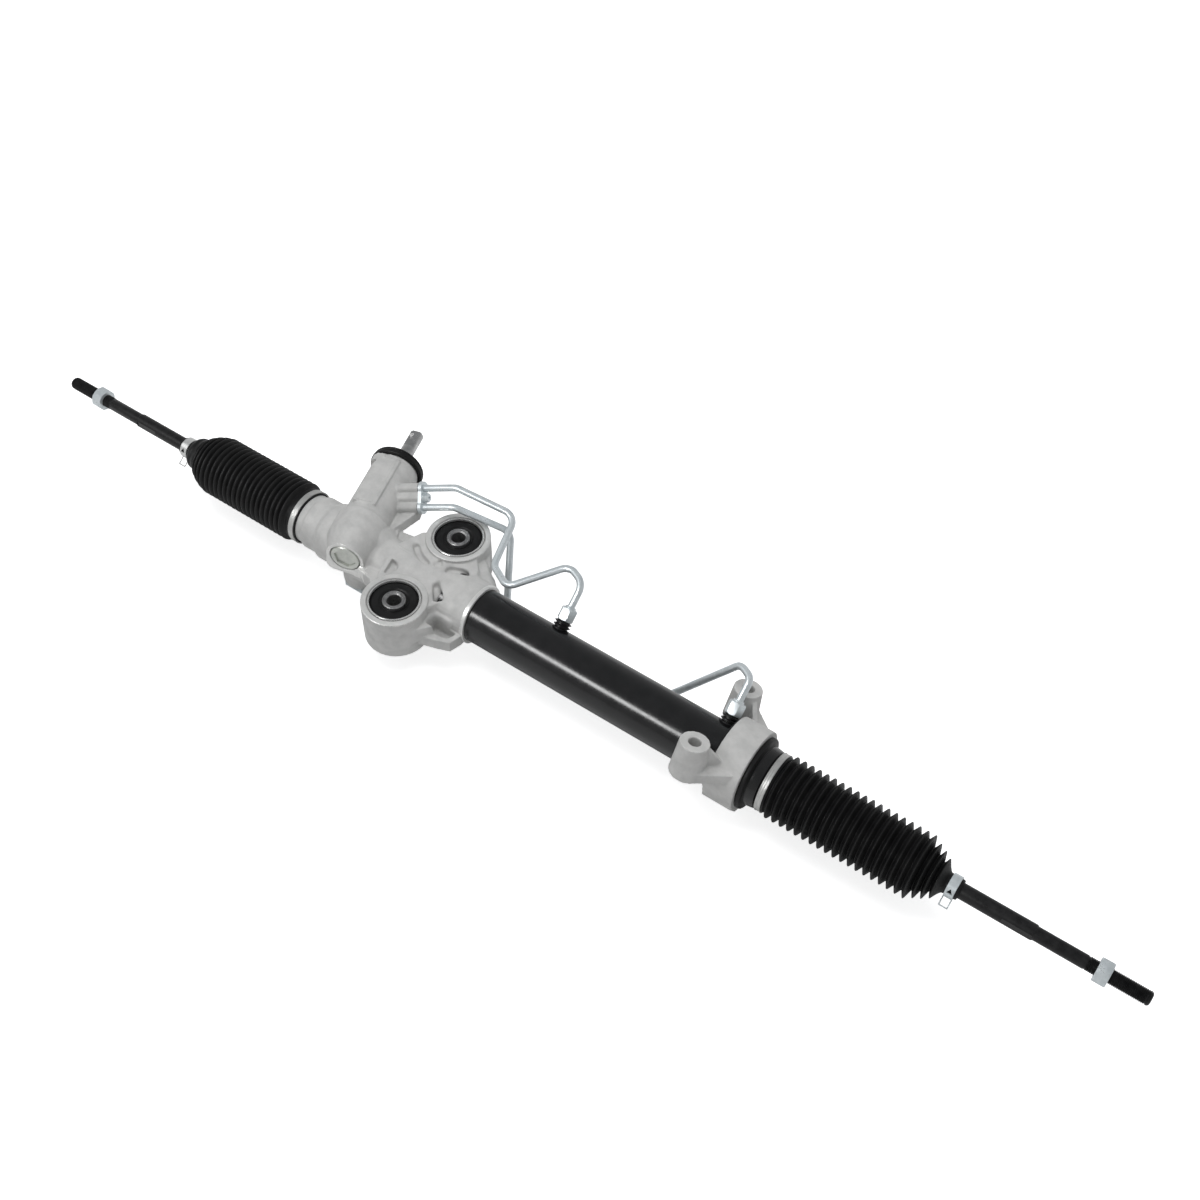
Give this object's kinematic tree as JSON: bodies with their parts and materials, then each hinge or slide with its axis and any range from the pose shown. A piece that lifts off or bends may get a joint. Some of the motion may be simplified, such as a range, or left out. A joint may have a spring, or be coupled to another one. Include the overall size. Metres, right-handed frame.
{
  "type": "steering rack",
  "caption": "Power rack-and-pinion steering gear with cast housing, hydraulic cylinder tube, bellows boots and threaded tie rods that swing on inner ball joints.",
  "frame": {"origin": "on the rack axis, midway between the two frame bushings", "axes": "+X along the rack towards the saddle bracket end, +Z along the frame bushing axes towards the faces seen from above, +Y towards the input shaft side"},
  "size_m": [1.2723, 0.232, 0.1095],
  "materials": {
    "cast": "sand-cast aluminium, blasted",
    "gloss_black": "gloss black paint",
    "black_steel": "satin black phosphate",
    "zinc": "bright zinc plate",
    "band_steel": "brushed stainless",
    "steel": "ground steel",
    "rubber": "moulded black rubber",
    "plastic": "natural acetal",
    "ptfe": "filled low-friction plastic"
  },
  "bodies": {
    "housing": {"gear_housing": "cast", "cylinder_tube": "gloss_black", "inner_bulkhead": "cast", "outer_bulkhead": "cast", "inner_rod_seal": "rubber", "outer_rod_seal": "rubber", "port_bosses": "black_steel", "line_nuts": "zinc", "upper_line": "zinc", "lower_line": "zinc", "port_plate": "zinc", "port_screw": "zinc", "bushing_shells": "steel", "bushing_rubbers": "rubber", "bushing_sleeves": "steel", "saddle_bracket": "cast", "saddle_rubber": "rubber", "tube_neck": "black_steel", "rack_bush": "plastic", "lower_bearing": "steel", "upper_bearing": "steel", "shaft_seal": "rubber", "dust_ring": "rubber", "pinion_plug": "steel", "rack_yoke": "cast", "yoke_spring": "steel", "yoke_plug": "steel", "yoke_nut": "zinc", "left_boot": "rubber", "right_boot": "rubber", "left_boot_band": "band_steel", "right_boot_band": "band_steel"},
    "rack": {"rack_bar": "steel", "rack_piston": "steel", "piston_ring": "ptfe", "left_socket": "steel", "right_socket": "steel"},
    "pinion": {"pinion_gear": "steel", "valve_sleeve": "steel", "valve_rings": "ptfe", "input_shaft": "steel", "torsion_bar": "steel"},
    "left_seat": {"left_ball_seat": "plastic"},
    "left_rod": {"left_tie_rod": "black_steel", "left_jam_nut": "zinc", "left_rod_clamp": "band_steel"},
    "right_seat": {"right_ball_seat": "plastic"},
    "right_rod": {"right_tie_rod": "black_steel", "right_jam_nut": "zinc", "right_rod_clamp": "band_steel"}
  },
  "joints": [
    {"name": "rack_slide", "type": "slide", "parent": "housing", "child": "rack", "axis": [1, 0, 0], "range_m": [-0.078, 0.066], "deforming": ["left_boot", "right_boot"]},
    {"name": "pinion_spin", "type": "hinge", "parent": "housing", "child": "pinion", "pos_m": [-0.0887, 0, 0.0185], "axis": [-0.2862, 0.9582, 0], "range_deg": [-475, 560]},
    {"name": "left_rod_swing", "type": "hinge", "parent": "rack", "child": "left_seat", "pos_m": [-0.207, 0, 0], "axis": [0, 0, 1], "range_deg": [-10, 10]},
    {"name": "left_rod_lift", "type": "hinge", "parent": "left_seat", "child": "left_rod", "pos_m": [-0.207, 0, 0], "axis": [0, 1, 0], "range_deg": [-12, 12]},
    {"name": "right_rod_swing", "type": "hinge", "parent": "rack", "child": "right_seat", "pos_m": [0.463, 0, 0], "axis": [0, 0, 1], "range_deg": [-10, 10]},
    {"name": "right_rod_lift", "type": "hinge", "parent": "right_seat", "child": "right_rod", "pos_m": [0.463, 0, 0], "axis": [0, 1, 0], "range_deg": [-12, 12]}
  ],
  "couplings": [
    {"joint": "pinion_spin", "follows": "rack_slide", "rad_per_m": -125}
  ]
}
